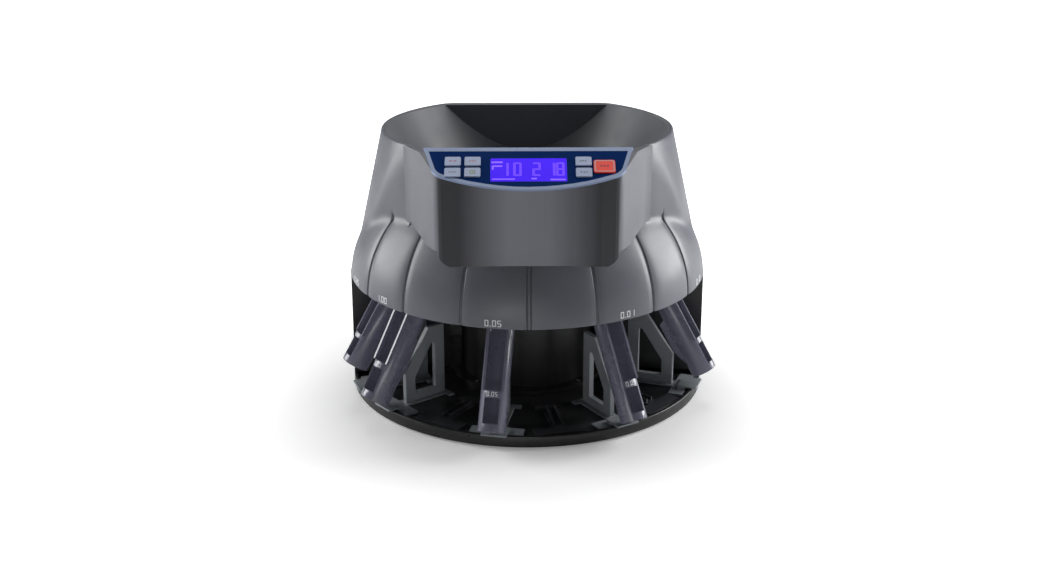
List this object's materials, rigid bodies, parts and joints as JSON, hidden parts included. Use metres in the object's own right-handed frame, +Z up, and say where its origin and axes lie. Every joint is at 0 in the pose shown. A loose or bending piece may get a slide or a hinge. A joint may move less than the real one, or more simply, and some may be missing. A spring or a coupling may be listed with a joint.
{
  "type": "coin sorting machine",
  "caption": "Desktop coin sorter: open hopper over a turning disc, control panel in front, fluted skirt and slanted coin tubes round a round base.",
  "frame": {"origin": "middle of the footprint, on the surface the feet stand on; the rotor axis is 20 mm behind it", "axes": "+Z up, the control panel and coin tubes face -Y, +X is to the right seen from the front"},
  "size_m": [0.3635, 0.353, 0.267],
  "materials": {
    "base_black": "semi-gloss black moulding",
    "housing_grey": "fine satin grain, mid grey",
    "front_slate": "satin slate grey",
    "bezel_blue_grey": "satin light blue grey",
    "overlay_navy": "printed polyester sheet, navy",
    "screen": "tinted clear window",
    "lcd": "backlit violet blue",
    "board_green": "solder mask",
    "ribbon_grey": "flat cable",
    "steel": "brushed",
    "hopper_grey": "satin grain",
    "disc_dark": "satin",
    "feed_grey": "satin",
    "rubber_black": "matt",
    "stand_grey": "satin grey",
    "socket_dark": "satin",
    "tube_smoke": "smoky indigo",
    "key_silver": "silver blue",
    "key_red": "red",
    "gear_white": "acetal",
    "brass": "turned",
    "motor_metal": "zinc can",
    "psu_metal": "folded sheet",
    "socket_black": "moulded",
    "rocker_black": "moulded"
  },
  "bodies": {
    "housing": {"base_plate": "base_black", "rubber_feet": "rubber_black", "rear_housing": "base_black", "back_panel": "base_black", "core_drum": "base_black", "upper_housing": "housing_grey", "control_box": "front_slate", "panel_bezel": "bezel_blue_grey", "panel_overlay": "overlay_navy", "display_window": "screen", "display_module": "lcd", "display_board": "board_green", "display_ribbon": "ribbon_grey", "main_board": "board_green", "power_supply": "psu_metal", "power_inlet": "socket_black", "switch_frame": "socket_black", "data_jack": "socket_black", "hopper_bowl": "hopper_grey", "sorting_plate": "steel", "sorting_rail": "steel", "coin_chutes": "disc_dark", "coin_sensors": "socket_black", "gear_motor": "motor_metal", "motor_bracket": "steel", "lower_bearing": "steel", "upper_bearing": "steel", "stand_1": "stand_grey", "stand_2": "stand_grey", "stand_3": "stand_grey", "stand_4": "stand_grey", "stand_5": "stand_grey", "socket_1": "socket_dark", "socket_2": "socket_dark", "socket_3": "socket_dark", "base_screws": "steel", "plate_screws": "steel", "panel_screws": "steel"},
    "rotor": {"main_shaft": "steel", "shaft_collar": "steel", "drive_gear": "gear_white", "sorter_disc": "disc_dark", "feed_disc": "feed_grey", "hub_cap": "disc_dark"},
    "pinion": {"motor_shaft": "steel", "motor_pinion": "brass"},
    "key_1": {"key_1": "key_silver"},
    "key_2": {"key_2": "key_silver"},
    "key_3": {"key_3": "key_silver"},
    "key_4": {"key_4": "key_silver"},
    "key_5": {"key_5": "key_silver"},
    "key_6": {"key_6": "key_silver"},
    "start_key": {"start_key": "key_red"},
    "power_rocker": {"power_rocker": "rocker_black"},
    "coin_tube_1": {"coin_tube_1": "tube_smoke"},
    "coin_tube_2": {"coin_tube_2": "tube_smoke"},
    "coin_tube_3": {"coin_tube_3": "tube_smoke"},
    "coin_tube_4": {"coin_tube_4": "tube_smoke"},
    "coin_tube_5": {"coin_tube_5": "tube_smoke"}
  },
  "joints": [
    {"name": "rotor_spin", "type": "hinge", "parent": "housing", "child": "rotor", "pos_m": [0, 0.02, 0.18], "axis": [0, 0, 1], "continuous": true},
    {"name": "pinion_spin", "type": "hinge", "parent": "housing", "child": "pinion", "pos_m": [-0.03118, 0.038, 0.145], "axis": [0, 0, 1], "continuous": true},
    {"name": "key_1_press", "type": "slide", "parent": "housing", "child": "key_1", "axis": [0, 0.4226, -0.9063], "range_m": [0, 0.0008], "stiffness_N_per_m": 500},
    {"name": "key_2_press", "type": "slide", "parent": "housing", "child": "key_2", "axis": [0, 0.4226, -0.9063], "range_m": [0, 0.0008], "stiffness_N_per_m": 500},
    {"name": "key_3_press", "type": "slide", "parent": "housing", "child": "key_3", "axis": [0, 0.4226, -0.9063], "range_m": [0, 0.0008], "stiffness_N_per_m": 500},
    {"name": "key_4_press", "type": "slide", "parent": "housing", "child": "key_4", "axis": [0, 0.4226, -0.9063], "range_m": [0, 0.0008], "stiffness_N_per_m": 500},
    {"name": "key_5_press", "type": "slide", "parent": "housing", "child": "key_5", "axis": [0, 0.4226, -0.9063], "range_m": [0, 0.0008], "stiffness_N_per_m": 500},
    {"name": "key_6_press", "type": "slide", "parent": "housing", "child": "key_6", "axis": [0, 0.4226, -0.9063], "range_m": [0, 0.0008], "stiffness_N_per_m": 500},
    {"name": "start_key_press", "type": "slide", "parent": "housing", "child": "start_key", "axis": [0, 0.4226, -0.9063], "range_m": [0, 0.0008], "stiffness_N_per_m": 500},
    {"name": "power_switch", "type": "hinge", "parent": "housing", "child": "power_rocker", "pos_m": [-0.028, 0.1697, 0.048], "axis": [1, 0, 0], "range_deg": [0, 16]},
    {"name": "tube_1_pull", "type": "slide", "parent": "housing", "child": "coin_tube_1", "axis": [-0.9397, -0.342, 0], "range_m": [0, 0.06]},
    {"name": "tube_2_pull", "type": "slide", "parent": "housing", "child": "coin_tube_2", "axis": [-0.7771, -0.6293, 0], "range_m": [0, 0.06]},
    {"name": "tube_3_pull", "type": "slide", "parent": "housing", "child": "coin_tube_3", "axis": [-0.1822, -0.9833, 0], "range_m": [0, 0.06]},
    {"name": "tube_4_pull", "type": "slide", "parent": "housing", "child": "coin_tube_4", "axis": [0.515, -0.8572, 0], "range_m": [0, 0.06]},
    {"name": "tube_5_pull", "type": "slide", "parent": "housing", "child": "coin_tube_5", "axis": [0.9397, -0.342, 0], "range_m": [0, 0.06]}
  ],
  "couplings": [
    {"joint": "pinion_spin", "follows": "rotor_spin", "ratio": -5}
  ]
}
